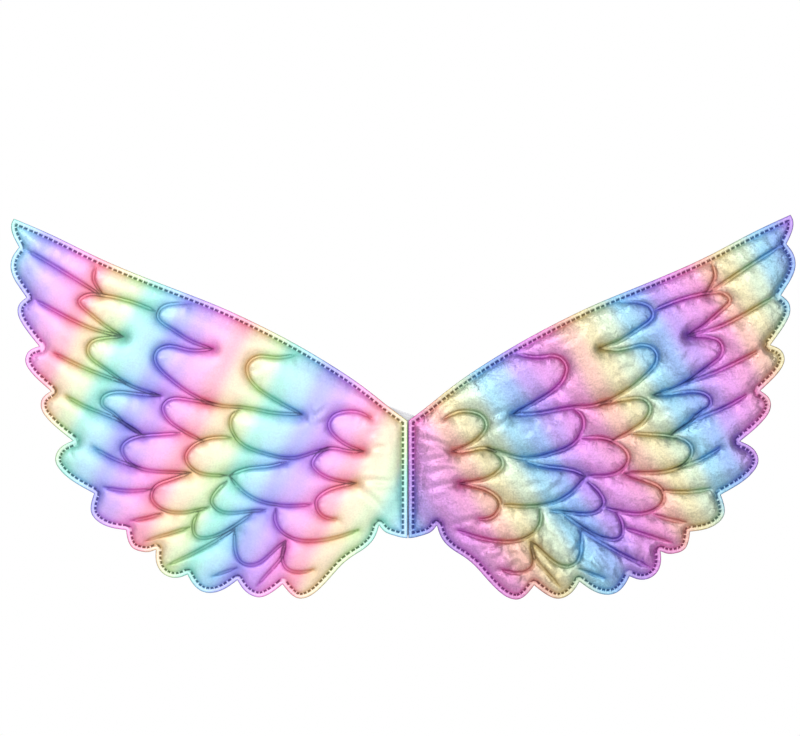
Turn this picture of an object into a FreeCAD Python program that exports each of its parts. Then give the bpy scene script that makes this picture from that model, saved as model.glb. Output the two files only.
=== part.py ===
import FreeCAD, Part
import math
import os

from FreeCAD import Vector

# Padded costume wings, upright as they are worn. +X runs to the right wing tip as seen from behind the
# wearer, +Z is up and +Y points at the wearer's back. The origin is on the rear face of the seam tape,
# halfway up the seam. All lengths are in millimetres and all angles in degrees.

# Thicknesses, from the wearer's side forwards
TAPE_THICK = 0.6
TAPE_HALF_WIDTH = 5.0
TAPE_TOP = 36.5
TAPE_BOTTOM = -36.0
SEAM_SLACK = 1.0        # loose fabric between the tape and the wings, which lets the wings swing back
BACKING_THICK = 0.5
FACE_THICK = 0.6
PADDING_THICK = 6.0

# Wing plan
SEAM_GAP = 0.3          # each wing's inner edge stands this far from the middle
HALF_SPAN = 250.0
FLANGE_WIDTH = 4.5      # flat welded rim outside the padding
STEP_INSET = 2.0        # the padding's upper half is this much smaller all round
PADDING_RUN = 2.5       # the padding's edge is short straight runs of this length
SEAM_SLOPE = 0.55       # rise of the padding per millimetre away from the seam
LEAN = 0.000075         # the two wings lie slightly differently: the left leans out and the right in
LEAN_HEIGHT = -30.0
STRETCH = 0.010
STRETCH_HEIGHT = 40.0

# Shoulder straps: flat elastic, sewn at both ends to the rear of the tape
STRAP_WIDTH = 12.0
STRAP_THICK = 1.2
STRAP_HINGE_X = 5.75
STRAP_REST_ANGLE = 35.0  # between a strap's loop and the wings
STRAP_HINGE_CLEAR = 0.5
STRAP_STATIONS = 36
SEWN_END_LENGTH = 9.4
SEWN_END_MIDDLE = -0.3   # across the seam, measured towards the strap's own side
LEFT_UPPER_Z = 34.5      # the left strap is sewn higher and shows in the notch above the seam
RIGHT_UPPER_Z = 28.5
LOWER_Z = -21.0

# Thread
STITCH_LENGTH = 2.6
STITCH_PITCH = 3.5
STITCH_WIDTH = 0.5
STITCH_HEIGHT = 0.3
SEAM_ROW_X = 3.9
SEAM_ROW_SPAN = (-12.25, 19.25)
TACK_HALF_WIDTH = 3.0
TACK_HALF_HEIGHT = 3.5

BACKING_REAR = -TAPE_THICK - SEAM_SLACK
BACKING_FRONT = BACKING_REAR - BACKING_THICK
FLANGE_FRONT = BACKING_FRONT - FACE_THICK

# The wing's outline, as distance out from the seam and height. The leading edge runs from the seam's
# top to the tip. Each feather then starts at one notch, goes round its end and stops at the next notch.
LEADING_EDGE = [(SEAM_GAP, 37.5), (13, 47), (24, 55.8), (35, 64), (47, 72), (71, 86.5), (95.5, 99.5),
                (121, 111.5), (147, 122), (173, 132.5), (198.5, 144), (223, 156.5), (248.5, 168)]
FEATHERS = [
    [(248.5, 168), (250, 165), (250.2, 161), (248.5, 155.5), (245.5, 149.5)],
    [(245.5, 149.5), (249.5, 144), (251.2, 138), (250.5, 132.5), (245.5, 123), (241.5, 117)],
    [(241.5, 117), (246.5, 112), (247, 106), (245, 101), (239, 92), (234, 85.5)],
    [(234, 85.5), (241, 82), (243, 76.5), (241, 71), (233.5, 62.5), (227, 56.5)],
    [(227, 56.5), (233, 51), (233.3, 45), (230, 39.3), (221, 30.5), (213.5, 24.5)],
    [(213.5, 24.5), (222.5, 19), (225, 12), (221.5, 5), (209.5, -4.5), (200.5, -9.5)],
    [(200.5, -9.5), (202.5, -16), (202.5, -22), (199.5, -26.5), (190, -31.5), (180.5, -33)],
    [(180.5, -33), (179.5, -39), (176.5, -44.5), (171, -46.8), (165.5, -47), (161.5, -45.5)],
    [(161.5, -45.5), (161.5, -53), (159, -59), (153.5, -63), (147, -63.5), (141.5, -61.5)],
    [(141.5, -61.5), (138, -67.5), (132.5, -72.2), (126.5, -73.3), (119, -71.3), (109.5, -65)],
    [(109.5, -65), (105.5, -71), (100.5, -74.8), (95.5, -76), (88.5, -73.5), (80.5, -67.5)],
    [(80.5, -67.5), (76.5, -72.5), (70.5, -76.5), (64, -75.5), (57.5, -71), (48, -61), (42, -54.5),
     (35, -49), (28, -44.5), (21.5, -37.5), (18.5, -29.5)],
    [(18.5, -29.5), (15, -33.5), (9, -36), (4, -37.3), (SEAM_GAP, -37.7)],
]

# A strap's loop in its own plane: distance out from its hinge line, and height
OUTER_BEND = [(74, 31), (112, 9), (122, -14), (107, -32), (70, -35), (35, -27), (15, -21.8)]
LEFT_LOOP = [(STRAP_HINGE_CLEAR, LEFT_UPPER_Z), (15, 38.5), (38, 40.5)] + OUTER_BEND
RIGHT_LOOP = [(STRAP_HINGE_CLEAR, RIGHT_UPPER_Z), (15, 30), (38, 33.5)] + OUTER_BEND


def spread(point, side):
    """A point of the wing drawing in its place on the left (-1) or right (+1) wing."""
    out, height = point
    x = out * (1 - side * LEAN * (height - LEAN_HEIGHT))
    z = height + side * STRETCH * (height - STRETCH_HEIGHT) * out / HALF_SPAN
    return Vector(side * x, 0, z)


def spline(points):
    curve = Part.BSplineCurve()
    curve.interpolate(points)
    return curve.toShape()


def wing_plan(side):
    """The wing's flat outline in the plane y = 0."""
    runs = [LEADING_EDGE] + FEATHERS
    edges = [spline([spread(point, side) for point in run]) for run in runs]
    bottom = spread(FEATHERS[-1][-1], side)
    top = spread(LEADING_EDGE[0], side)
    edges.append(Part.LineSegment(bottom, top).toShape())
    return Part.Face(Part.Wire(edges))


def plate(plan, rear, front):
    """The plan as a sheet from y = rear forwards to y = front."""
    sheet = plan.extrude(Vector(0, front - rear, 0))
    sheet.translate(Vector(0, rear, 0))
    return sheet


def inset(plan, distance):
    """The plan made smaller all round, with its edge in short straight runs."""
    corners = plan.makeOffset2D(-distance).OuterWire.discretize(Distance=PADDING_RUN)
    return Part.Face(Part.makePolygon(corners + corners[:1]))


def seam_wedge(side, start, thick):
    """Everything in front of the backing that lies outside the slope beside the seam."""
    reach = start + thick / SEAM_SLOPE
    far = HALF_SPAN + 20
    corners = [(start, BACKING_FRONT), (reach, BACKING_FRONT - thick), (reach, -30), (far, -30),
               (far, BACKING_FRONT)]
    corners = [Vector(side * x, y, -150) for x, y in corners]
    return Part.Face(Part.makePolygon(corners + corners[:1])).extrude(Vector(0, 0, 400))


def mound(plan, side, rim, thick):
    """A low pad in two steps over the plan, inside its rim, sloping down to the seam."""
    half = thick / 2
    lower = plate(inset(plan, rim), BACKING_FRONT, BACKING_FRONT - half)
    upper = plate(inset(plan, rim + STEP_INSET), BACKING_FRONT - half, BACKING_FRONT - thick)
    return lower.fuse(upper).removeSplitter().common(seam_wedge(side, rim, thick))


def build_wing(side):
    """The backing, the padding and the face fabric of one wing."""
    plan = wing_plan(side)
    backing = plate(plan, BACKING_REAR, BACKING_FRONT)
    padding = mound(plan, side, FLANGE_WIDTH + FACE_THICK, PADDING_THICK)
    cover = mound(plan, side, FLANGE_WIDTH, PADDING_THICK + FACE_THICK)
    flange = plate(plan, BACKING_FRONT, FLANGE_FRONT)
    face = flange.fuse(cover).removeSplitter().cut(padding)
    return backing, padding, face


def strap_loop(points, side, hinge_y):
    """A flat strap along the loop: on edge beside its two sewn ends, and flat to the arm between them."""
    ends = points + [(STRAP_HINGE_CLEAR, LOWER_Z)]
    curve = Part.BSplineCurve()
    curve.interpolate(Points=[Vector(out, 0, height) for out, height in ends],
                      InitialTangent=Vector(1, 0, 0), FinalTangent=Vector(-1, 0, 0))
    sections = []
    for station in range(STRAP_STATIONS + 1):
        share = station / STRAP_STATIONS
        first, last = curve.FirstParameter, curve.LastParameter
        here = first + share * (last - first)
        along = curve.tangent(here)[0]
        across = Vector(-along.z, 0, along.x)
        normal = Vector(0, 1, 0)
        turn = math.pi / 2 * min(1, 3.2 * share, 3.2 * (1 - share))
        turn = math.pi / 2 * math.sin(turn) ** 2
        wide = across * math.cos(turn) + normal * math.sin(turn)
        thin = normal * math.cos(turn) - across * math.sin(turn)
        middle = curve.value(here)
        corners = [middle + wide * (a * STRAP_WIDTH / 2) + thin * (b * STRAP_THICK / 2)
                   for a, b in ((-1, -1), (1, -1), (1, 1), (-1, 1))]
        sections.append(Part.makePolygon(corners + corners[:1]))
    loop = Part.makeLoft(sections, True, True)
    loop.rotate(Vector(0, 0, 0), Vector(0, 0, 1), STRAP_REST_ANGLE)
    loop.translate(Vector(STRAP_HINGE_X, hinge_y, 0))
    if side < 0:
        loop = mirrored(loop, hinge_y)
    print("strap length", round(curve.length(), 1), "volume", round(loop.Volume, 1), loop.isValid())
    return loop


def mirrored(shape, hinge_y):
    """The same shape on the left side of the seam."""
    return shape.mirror(Vector(0, hinge_y, 0), Vector(1, 0, 0))


def sewn_end(side, rear_of, middle_z):
    """The end of a strap that lies flat across the tape."""
    end = Part.makeBox(SEWN_END_LENGTH, STRAP_THICK, STRAP_WIDTH)
    left_edge = side * SEWN_END_MIDDLE - SEWN_END_LENGTH / 2
    end.translate(Vector(left_edge, rear_of, middle_z - STRAP_WIDTH / 2))
    return end


def stitch(x, y, z, upright):
    """One stitch of thread lying on a rear face at y."""
    long_x, long_z = (STITCH_WIDTH, STITCH_LENGTH) if upright else (STITCH_LENGTH, STITCH_WIDTH)
    thread = Part.makeBox(long_x, STITCH_HEIGHT, long_z)
    thread.translate(Vector(x - long_x / 2, y, z - long_z / 2))
    return thread


def seam_row(side):
    """The row of stitches down one edge of the tape, between the sewn ends of the straps."""
    low, high = SEAM_ROW_SPAN
    count = round((high - low) / STITCH_PITCH)
    return Part.makeCompound([stitch(side * SEAM_ROW_X, 0, low + step * STITCH_PITCH, True)
                              for step in range(count + 1)])


def box_tack(middle_z):
    """A box of stitches through both straps and the tape."""
    rear = 2 * STRAP_THICK
    threads = []
    for edge in (-1, 1):
        for step in (-1, 1):
            threads.append(stitch(edge * TACK_HALF_WIDTH, rear, middle_z + step * STITCH_PITCH / 2, True))
        for step in (-0.5, 0.5):
            threads.append(stitch(step * STITCH_LENGTH * 0.95, rear, middle_z + edge * TACK_HALF_HEIGHT, False))
    return Part.makeCompound(threads)


def tape():
    strip = Part.makeBox(2 * TAPE_HALF_WIDTH, TAPE_THICK, TAPE_TOP - TAPE_BOTTOM)
    strip.translate(Vector(-TAPE_HALF_WIDTH, -TAPE_THICK, TAPE_BOTTOM))
    return strip


def build():
    shapes = {"seam_tape": tape()}
    for side, name in ((-1, "left"), (1, "right")):
        backing, padding, face = build_wing(side)
        shapes[name + "_backing_fabric"] = backing
        shapes[name + "_padding"] = padding
        shapes[name + "_face_fabric"] = face
        shapes[name + "_seam_thread"] = seam_row(side)
    # The left strap's ends lie on the tape, and the right strap's ends lie on the left's.
    shapes["left_upper_strap_end"] = sewn_end(-1, 0, LEFT_UPPER_Z)
    shapes["left_lower_strap_end"] = sewn_end(-1, 0, LOWER_Z)
    shapes["right_upper_strap_end"] = sewn_end(1, STRAP_THICK, RIGHT_UPPER_Z)
    shapes["right_lower_strap_end"] = sewn_end(1, STRAP_THICK, LOWER_Z)
    shapes["left_shoulder_strap"] = strap_loop(LEFT_LOOP, -1, STRAP_THICK / 2)
    shapes["right_shoulder_strap"] = strap_loop(RIGHT_LOOP, 1, STRAP_THICK * 1.5)
    shapes["upper_tack_thread"] = box_tack(RIGHT_UPPER_Z)
    shapes["lower_tack_thread"] = box_tack(LOWER_Z)
    return shapes


def main():
    os.makedirs("parts", exist_ok=True)
    for name, shape in build().items():
        box = shape.BoundBox
        print(name, "valid", shape.isValid(), "solids", len(shape.Solids), "volume", round(shape.Volume, 1),
              "x", round(box.XMin, 1), round(box.XMax, 1), "y", round(box.YMin, 1), round(box.YMax, 1),
              "z", round(box.ZMin, 1), round(box.ZMax, 1))
        shape.exportStep("parts/" + name + ".step")


main()
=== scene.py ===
"""Fairy wings: two padded metallic wings, a taped centre seam and an elastic loop for each arm."""

import math

import bpy
import numpy as np
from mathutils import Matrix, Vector, kdtree, noise
from mathutils.geometry import delaunay_2d_cdt


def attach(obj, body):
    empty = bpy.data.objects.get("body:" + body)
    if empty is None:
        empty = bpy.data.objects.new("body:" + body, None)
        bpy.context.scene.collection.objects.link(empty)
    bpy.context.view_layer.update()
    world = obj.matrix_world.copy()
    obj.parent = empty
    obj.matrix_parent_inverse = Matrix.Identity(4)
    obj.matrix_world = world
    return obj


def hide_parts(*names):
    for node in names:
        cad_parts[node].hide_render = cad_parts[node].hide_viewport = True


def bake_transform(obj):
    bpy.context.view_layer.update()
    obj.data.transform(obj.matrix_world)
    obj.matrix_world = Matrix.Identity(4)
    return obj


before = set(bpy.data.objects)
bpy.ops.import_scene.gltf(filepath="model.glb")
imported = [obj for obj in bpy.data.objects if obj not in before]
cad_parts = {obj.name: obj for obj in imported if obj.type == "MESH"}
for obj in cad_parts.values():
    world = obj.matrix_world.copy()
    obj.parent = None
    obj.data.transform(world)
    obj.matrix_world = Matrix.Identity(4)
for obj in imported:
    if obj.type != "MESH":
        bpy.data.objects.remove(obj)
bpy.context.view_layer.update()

MM = 0.001
LEFT, RIGHT = -1, 1
NAMES = {LEFT: "left", RIGHT: "right"}

# ---------------------------------------------------------------- the wing's drawing, in millimetres
# Points are (out from the centre seam, height). Both wings are cut from the same drawing.
HALF_SPAN = 250.0
LEAN = 0.000075
LEAN_HEIGHT = -30.0
STRETCH = 0.010
STRETCH_HEIGHT = 40.0
LEADING_EDGE = [
    (0.3, 37.5), (13, 47), (24, 55.8), (35, 64), (47, 72), (71, 86.5), (95.5, 99.5),
    (121, 111.5), (147, 122), (173, 132.5), (198.5, 144), (223, 156.5), (248.5, 168),
]
FEATHERS = [
    [(248.5, 168), (250, 165), (250.2, 161), (248.5, 155.5), (245.5, 149.5)],
    [(245.5, 149.5), (249.5, 144), (251.2, 138), (250.5, 132.5), (245.5, 123), (241.5, 117)],
    [(241.5, 117), (246.5, 112), (247, 106), (245, 101), (239, 92), (234, 85.5)],
    [(234, 85.5), (241, 82), (243, 76.5), (241, 71), (233.5, 62.5), (227, 56.5)],
    [(227, 56.5), (233, 51), (233.3, 45), (230, 39.3), (221, 30.5), (213.5, 24.5)],
    [(213.5, 24.5), (222.5, 19), (225, 12), (221.5, 5), (209.5, -4.5), (200.5, -9.5)],
    [(200.5, -9.5), (202.5, -16), (202.5, -22), (199.5, -26.5), (190, -31.5), (180.5, -33)],
    [(180.5, -33), (179.5, -39), (176.5, -44.5), (171, -46.8), (165.5, -47), (161.5, -45.5)],
    [(161.5, -45.5), (161.5, -53), (159, -59), (153.5, -63), (147, -63.5), (141.5, -61.5)],
    [(141.5, -61.5), (138, -67.5), (132.5, -72.2), (126.5, -73.3), (119, -71.3), (109.5, -65)],
    [(109.5, -65), (105.5, -71), (100.5, -74.8), (95.5, -76), (88.5, -73.5), (80.5, -67.5)],
    [(80.5, -67.5), (76.5, -72.5), (70.5, -76.5), (64, -75.5), (57.5, -71), (48, -61),
     (42, -54.5), (35, -49), (28, -44.5), (21.5, -37.5), (18.5, -29.5)],
    [(18.5, -29.5), (15, -33.5), (9, -36), (4, -37.3), (0.3, -37.7)],
]
# Each welded line runs so that the feather lying on top is on its right.
WELDS = [
    [(159.5, 107.8), (167, 111), (180, 115.5), (194.5, 118.5), (203, 118.5), (207.8, 115),
     (201.5, 107), (191.5, 98.5), (180.5, 91.5)],
    [(240, 147.5), (222, 136.5), (208, 127.5), (194.5, 118.5)],
    [(197, 137), (198.5, 129), (193, 119)],
    [(137, 113), (150, 112.3), (157, 109), (158.3, 105.5), (150, 96.8), (137, 88.5), (123.5, 83.5)],
    [(235.5, 115.5), (217, 105), (199, 96.5), (180.5, 91.5)],
    [(123.5, 83.5), (139.5, 83), (153, 85.3), (159.5, 81.5), (160.3, 77), (153.5, 67),
     (139, 55.5), (123, 48), (101, 45.5), (88, 43), (67.5, 41.5)],
    [(180.5, 91.5), (194, 90.5), (201.5, 87), (202.8, 82.5), (194, 72.5), (178.5, 61.3), (157, 53.5)],
    [(224, 81), (205, 71.5), (178.5, 61.3)],
    [(157, 53.5), (172.5, 54.8), (188.5, 55.3), (194, 52), (194.3, 48), (189, 43.5),
     (181, 36.3), (169.3, 28.5)],
    [(217, 53.5), (205.5, 47), (183.5, 37.5), (169.3, 28.5)],
    [(123, 48), (143, 51.5), (151.5, 51), (155.5, 47), (154, 40.5), (144, 31.5), (131, 24.5)],
    [(107.5, 44.5), (112, 40), (112.8, 35), (106, 23), (91, 16.5), (75, 13.5), (62, 16.5), (51, 19.8)],
    [(112, 26.5), (124, 26.5), (136, 22), (141.3, 15), (138.5, 7.5), (128.5, 3), (115.5, 2.3)],
    [(145, 29.5), (161.5, 28.3), (175.5, 26), (182, 20.5), (180, 13), (172, 7.3), (155, 4.5), (138.5, 4)],
    [(199.5, 20), (189, 13.8), (172, 7.3)],
    [(193.5, -5.5), (179, -7.5), (163.8, -6.8)],
    [(138.5, 4), (154.5, -1.5), (162, -5.8), (163.8, -11.2), (158.5, -18.5), (146, -21.5),
     (134, -20), (127, -18)],
    [(177.5, -27), (165, -24.5), (157.2, -22)],
    [(168, -40), (154, -35.5), (139.5, -31)],
    [(115.5, -1.5), (123.5, -9.5), (125.3, -14.5), (122, -19.3), (106.5, -21.3), (91, -19.8)],
    [(134, -21.5), (137.3, -30), (135.5, -36.5), (128.5, -37.8), (118.5, -34.5), (106.5, -27), (99.8, -22)],
    [(77.5, 11), (88, 8.3), (106.8, 5.5), (114, 2)],
    [(114, 2), (106.5, -6.5), (95, -13.8), (87, -16), (61.5, -16.2)],
    [(154, -55.5), (139.5, -48.7), (121, -38.5), (110.5, -32)],
    [(125, -62.5), (109.5, -57)],
    [(111, -32.5), (110.8, -42), (106.3, -53.5), (99.8, -55), (87.5, -47.5), (78.5, -39.5)],
    [(84.5, -18.7), (84.7, -26.5), (79, -35), (69.3, -39), (57.5, -39.2), (43, -36.3), (32, -32.5)],
    [(96.5, -68), (87.2, -57.6), (80.5, -49), (78.5, -40)],
    [(78, -39.5), (80.5, -50), (78.5, -56.3), (71.3, -59.5), (60.5, -57.7)],
    [(23.5, 39), (31.5, 42.8), (41, 43), (48, 40), (50.2, 34.5), (46.5, 27.8), (39, 22), (28.3, 17.8)],
    [(28.3, 17.8), (37.5, 18), (50, 19.8), (58, 15.5), (60.8, 10.3), (55.8, 3.8), (43.3, -1.2), (33, -2.5)],
    [(33, -2.5), (43, -4.5), (53.8, -8.7), (58.5, -14.2), (58, -18.8), (53.5, -24), (46, -25.2)],
    [(70, 80), (85.5, 78), (96, 78.3), (101.7, 73), (100.3, 64.5), (88.5, 53.5), (67.5, 41.5)],
]
# Creases that the making left in each wing: (start, end, depth, half width).
CREASES = {
    LEFT: [
        ((22.7, 19.6), (14.3, 20.4), 1.0, 1.6), ((32.2, -1.9), (11.1, -1.9), 1.1, 1.7),
        ((30.7, -6.7), (14.3, -22.7), 1.1, 2.0), ((52, 47), (61, 40), 0.9, 1.4),
        ((49, 40), (60, 34), 0.9, 1.5), ((63, 46), (57, 32), 0.8, 1.4), ((26, 28), (15, 31), 0.7, 1.8),
        ((92, 73), (104, 67), 0.7, 2.2), ((92, 66), (106, 58), 0.6, 2.4), ((34, 52), (27, 45), 0.7, 1.8),
    ],
    RIGHT: [
        ((27, 19), (9, 26), 1.0, 1.7), ((27, 14), (10, 10), 0.9, 1.8), ((32, -3), (10, -8), 1.1, 1.8),
        ((44, -25), (19, -35), 1.2, 1.7), ((33, 6), (12, 3), 0.7, 1.8), ((60, -40), (46, -47), 1.3, 2.0),
        ((68, -42), (56, -52), 1.3, 2.0), ((72, -50), (62, -62), 1.3, 1.9), ((60, -57), (52, -62), 1.3, 1.8),
        ((77, -58), (71, -70), 1.1, 1.7), ((92, -48), (86, -62), 1.2, 2.2), ((98, -56), (92, -70), 1.2, 2.0),
        ((112, -40), (104, -50), 1.1, 2.0), ((118, -42), (116, -58), 1.2, 2.2),
        ((128, -54), (122, -66), 1.2, 2.0),
        ((140, -37), (137, -52), 1.0, 2.2), ((150, -40), (149, -56), 1.0, 2.0),
        ((30, 50), (22, 42), 0.9, 1.8),
        ((62, 44), (52, 38), 1.0, 1.8), ((66, 38), (54, 30), 0.9, 1.8), ((84, 34), (72, 26), 0.8, 2.2),
        ((96, 40), (86, 30), 0.8, 2.2), ((110, 90), (98, 84), 0.9, 2.2), ((128, 100), (118, 92), 0.9, 2.2),
        ((88, -2), (74, -6), 0.9, 2.2), ((100, -2), (90, -8), 0.9, 2.0), ((146, 74), (134, 64), 0.8, 2.4),
        ((186, 84), (176, 72), 0.8, 2.2), ((222, 104), (214, 92), 0.8, 2.4), ((170, 46), (160, 38), 0.8, 2.2),
    ],
}

# ---------------------------------------------------------------- the quilting, in millimetres
FLANGE_FRONT = -2.7
BACKING_FRONT = -2.1
BACKING_REAR = -1.6
FLANGE_WIDTH = 4.1
PUFF = {LEFT: 8.2, RIGHT: 8.6}
PUFF_REAR = 2.2
PUFF_REACH = 8.0
LIFT_ROUNDS = 420
SOFTEN_ROUNDS = 60
WELD_HEIGHT = 0.55
WELD_LINE_GAP = 0.85
WELD_LINE_HALF = 0.42
WELD_LINE_DEPTH = 0.45
DASH_ROW = 2.95
DASH_HALF_WIDTH = 0.86
DASH_PITCH = 3.5
DASH_SHARE = 0.80
DASH_DEPTH = 0.42
PUCKER = {LEFT: 0.22, RIGHT: 0.42}
CRINKLE = {LEFT: 0.10, RIGHT: 0.26}
LOOSE_BELOW = -24.0
# Painted highlight on the flange and the puff crowns, and how far the painted shade reaches beside the welds,
# for each wing.
PAINTED_FLANGE_HIGHLIGHT = {LEFT: 0.45, RIGHT: 0.15}
PAINTED_CROWN_HIGHLIGHT = {LEFT: 0.25, RIGHT: 0.12}
SHADE_REACH = {LEFT: (3.0, 4.4), RIGHT: (4.4, 1.3)}
FACE_LAYOUT = {
    "edge": 0.55, "rim_rows": (0.3, 0.8, 1.5, 2.1, 2.4, 2.95, 3.5, 3.8, 4.3, 5.0, 6.0, 7.4),
    "weld_step": 0.95, "weld_rows": (0.0, 0.42, 0.85, 1.27, 1.75, 2.4, 3.3), "hex": 1.5, "near": 0.34,
}
REAR_LAYOUT = {
    "edge": 0.9, "rim_rows": (0.4, 2.3, 2.95, 3.6, 4.3, 5.5, 7.5),
    "weld_step": 1.5, "weld_rows": (0.0, 0.7, 1.4, 2.6), "hex": 2.6, "near": 0.5,
}
WADDING_REACH = 3.4
WADDING_LAYOUT = {
    "edge": 2.0, "rim_rows": (6.5, 9.0), "weld_step": 3.0, "weld_rows": (0.0, 2.6), "hex": 4.0, "near": 1.2,
}

# ---------------------------------------------------------------- the straps, in millimetres
STRAP_WIDTH = 12.0
STRAP_THICK = 1.2
STRAP_HINGE_X = 5.75
STRAP_HINGE_Y = {LEFT: 0.6, RIGHT: 1.8}
STRAP_REST_ANGLE = math.radians(35)
STRAP_BEND_WIDTH = 1.6
SEWN_END = 10.75
OUTER_BEND = [(74, 31), (112, 9), (122, -14), (107, -32), (70, -35), (35, -27), (15, -21.8)]
LOOPS = {
    LEFT: [(-10.75, 33.5), (-5.4, 36.0), (0.5, 38.0), (8, 40.3), (15, 41.5), (38, 41.5)] + OUTER_BEND,
    RIGHT: [(-10.75, 28.5), (-5.4, 28.5), (0.5, 28.5), (15, 30), (38, 33.5)] + OUTER_BEND,
}
LOWER_Z = -21.0
STITCH_REACH = 2.9  # corners of one stitch are closer together than this
STITCH_LONGEST = 2.75
STITCH_WIDEST = 0.65


# ---------------------------------------------------------------- drawing helpers
def spread(points, side):
    """The drawing as each wing lies: the left one leans out and the right one in, by a degree or so."""
    p = np.array(points, float)
    out = p[:, 0] * (1 - side * LEAN * (p[:, 1] - LEAN_HEIGHT))
    height = p[:, 1] + side * STRETCH * (p[:, 1] - STRETCH_HEIGHT) * p[:, 0] / HALF_SPAN
    return np.stack([out, height], 1)


def spline(points, step):
    """Points about step apart on a smooth curve through the given ones."""
    p = np.array(points, float)
    t = np.concatenate(([0.0], np.cumsum(np.linalg.norm(np.diff(p, axis=0), axis=1))))
    h = np.diff(t)
    n = len(p)
    system, right = np.eye(n), np.zeros((n, p.shape[1]))
    for i in range(1, n - 1):
        system[i, i - 1 : i + 2] = h[i - 1], 2 * (h[i - 1] + h[i]), h[i]
        right[i] = 6 * ((p[i + 1] - p[i]) / h[i] - (p[i] - p[i - 1]) / h[i - 1])
    bend = np.linalg.solve(system, right)
    s = np.linspace(0, t[-1], int(t[-1] / step) * 6 + 12)
    k = np.clip(np.searchsorted(t, s, "right") - 1, 0, n - 2)
    u, v, w = (s - t[k])[:, None], (t[k + 1] - s)[:, None], h[k][:, None]
    fine = (
        (bend[k] * v**3 + bend[k + 1] * u**3) / (6 * w)
        + (p[k + 1] / w - bend[k + 1] * w / 6) * u
        + (p[k] / w - bend[k] * w / 6) * v
    )
    return even(fine, step)


def even(line, step):
    """The same line with its points evenly spaced, about step apart."""
    run = np.concatenate(([0.0], np.cumsum(np.linalg.norm(np.diff(line, axis=0), axis=1))))
    places = np.linspace(0, run[-1], max(2, round(run[-1] / step) + 1))
    return np.stack([np.interp(places, run, line[:, i]) for i in range(line.shape[1])], 1)


def outline(side, step):
    """The wing's closed outline: out along the leading edge, back round the feathers and up the seam."""
    runs = [spline(spread(LEADING_EDGE, side), step)]
    runs += [spline(spread(feather, side), step) for feather in FEATHERS]
    seam = np.array([runs[-1][-1], runs[0][0]])
    runs.append(even(seam, step))
    return np.concatenate([run[:-1] for run in runs])


def closest(points, line):
    """The index of the line's point that is nearest to each of the given points."""
    tree = kdtree.KDTree(len(line))
    for i, (x, z) in enumerate(line):
        tree.insert((x, z, 0), i)
    tree.balance()
    return np.array([tree.find((x, z, 0))[1] for x, z in points], int)


def nearest_on(points, line):
    """Distance to a line, how far along it, and the side: 1 right, -1 left, less past its ends."""
    step = np.diff(line, axis=0)
    length = np.linalg.norm(step, axis=1)
    run = np.concatenate(([0.0], np.cumsum(length)))
    far, along, lateral = (np.full(len(points), 1e9) for _ in range(3))
    near = closest(points, line)
    for shift in (-1, 0):
        k = np.clip(near + shift, 0, len(step) - 1)
        v = points - line[k]
        share = np.clip((v * step[k]).sum(1) / length[k] ** 2, 0, 1)
        gap = v - share[:, None] * step[k]
        d = np.linalg.norm(gap, axis=1)
        turn = (step[k, 1] * gap[:, 0] - step[k, 0] * gap[:, 1]) / (length[k] * np.maximum(d, 1e-6))
        better = d < far
        far = np.where(better, d, far)
        along = np.where(better, run[k] + share * length[k], along)
        lateral = np.where(better, turn, lateral)
    return far, along, lateral


def inside(points, loop):
    """True for the points that a closed loop goes round."""
    a, b = loop[:-1], loop[1:]
    rising = b[:, 1] - a[:, 1]
    slope = (b[:, 0] - a[:, 0]) / np.where(rising == 0, 1e-12, rising)
    within = np.empty(len(points), bool)
    for part in np.array_split(np.arange(len(points)), max(1, len(points) * len(loop) // 8_000_000)):
        x, z = points[part, :1], points[part, 1:]
        crossed = (a[:, 1] > z) != (b[:, 1] > z)
        within[part] = (crossed & (x < a[:, 0] + (z - a[:, 1]) * slope)).sum(1) % 2 == 1
    return within


def smooth(low, high, x):
    """0 below low, 1 above high, and an S-curve between."""
    t = np.clip((x - low) / (high - low), 0, 1)
    return t * t * (3 - 2 * t)


def rough_line(length, pitch, seed):
    """An uneven wave along a line: values at uneven knots about pitch apart, joined by S-curves."""
    local = np.random.default_rng(seed)
    knots = np.cumsum(local.uniform(0.6, 1.5, int(length / pitch) + 6) * pitch) - 2 * pitch
    values = local.uniform(-1, 1, len(knots))

    def at(x):
        k = np.clip(np.searchsorted(knots, x, "right") - 1, 0, len(knots) - 2)
        t = smooth(0, 1, (x - knots[k]) / (knots[k + 1] - knots[k]))
        return values[k] * (1 - t) + values[k + 1] * t

    return at


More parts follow.
